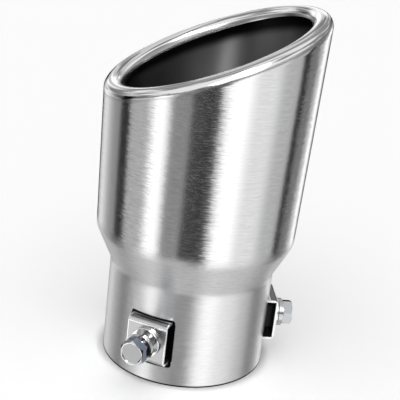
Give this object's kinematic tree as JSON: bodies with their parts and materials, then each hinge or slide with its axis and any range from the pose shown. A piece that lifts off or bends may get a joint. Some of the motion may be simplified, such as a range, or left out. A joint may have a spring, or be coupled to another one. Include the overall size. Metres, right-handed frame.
{
  "type": "exhaust tip",
  "caption": "Slash-cut brushed steel exhaust tip with a rolled lip, clamped on the tail pipe by hexagon set screws in pressed neck bridges.",
  "frame": {"origin": "centre of the neck's cut end, which is the end that slides over the tail pipe", "axes": "+Z along the tip from the neck to the mouth, +X towards the tall side of the slash cut"},
  "size_m": [0.0837, 0.0837, 0.1436],
  "materials": {
    "sheet_steel": "brushed round the tube, mirror-polished on the rolled lip",
    "zinc_plate": "bright zinc plate with a faint blue tone"
  },
  "bodies": {
    "shell": {"tip_shell": "sheet_steel", "flat_washer_1": "zinc_plate", "captive_nut_1": "zinc_plate", "flat_washer_2": "zinc_plate", "captive_nut_2": "zinc_plate", "flat_washer_3": "zinc_plate", "captive_nut_3": "zinc_plate"},
    "washer_1": {"spring_washer_1": "zinc_plate"},
    "screw_1": {"set_bolt_1": "zinc_plate"},
    "washer_2": {"spring_washer_2": "zinc_plate"},
    "screw_2": {"set_bolt_2": "zinc_plate"},
    "washer_3": {"spring_washer_3": "zinc_plate"},
    "screw_3": {"set_bolt_3": "zinc_plate"}
  },
  "joints": [
    {"name": "feed_1", "type": "slide", "parent": "shell", "child": "washer_1", "axis": [-0.515, -0.8572, 0], "range_m": [-0.0032, 0.0024]},
    {"name": "turn_1", "type": "hinge", "parent": "washer_1", "child": "screw_1", "pos_m": [-0.02222, -0.03698, 0.0183], "axis": [-0.515, -0.8572, 0], "range_deg": [-1152, 864]},
    {"name": "feed_2", "type": "slide", "parent": "shell", "child": "washer_2", "axis": [0.9998, -0.0175, 0], "range_m": [0, 0.0065]},
    {"name": "turn_2", "type": "hinge", "parent": "washer_2", "child": "screw_2", "pos_m": [0.03903, -0.00068, 0.0183], "axis": [0.9998, -0.0175, 0], "range_deg": [0, 2340]},
    {"name": "feed_3", "type": "slide", "parent": "shell", "child": "washer_3", "axis": [-0.4848, 0.8746, 0], "range_m": [0, 0.0065]},
    {"name": "turn_3", "type": "hinge", "parent": "washer_3", "child": "screw_3", "pos_m": [-0.01893, 0.03415, 0.0183], "axis": [-0.4848, 0.8746, 0], "range_deg": [0, 2340]}
  ],
  "couplings": [
    {"joint": "turn_1", "follows": "feed_1", "rad_per_m": 6283.2},
    {"joint": "turn_2", "follows": "feed_2", "rad_per_m": 6283.2},
    {"joint": "turn_3", "follows": "feed_3", "rad_per_m": 6283.2}
  ]
}
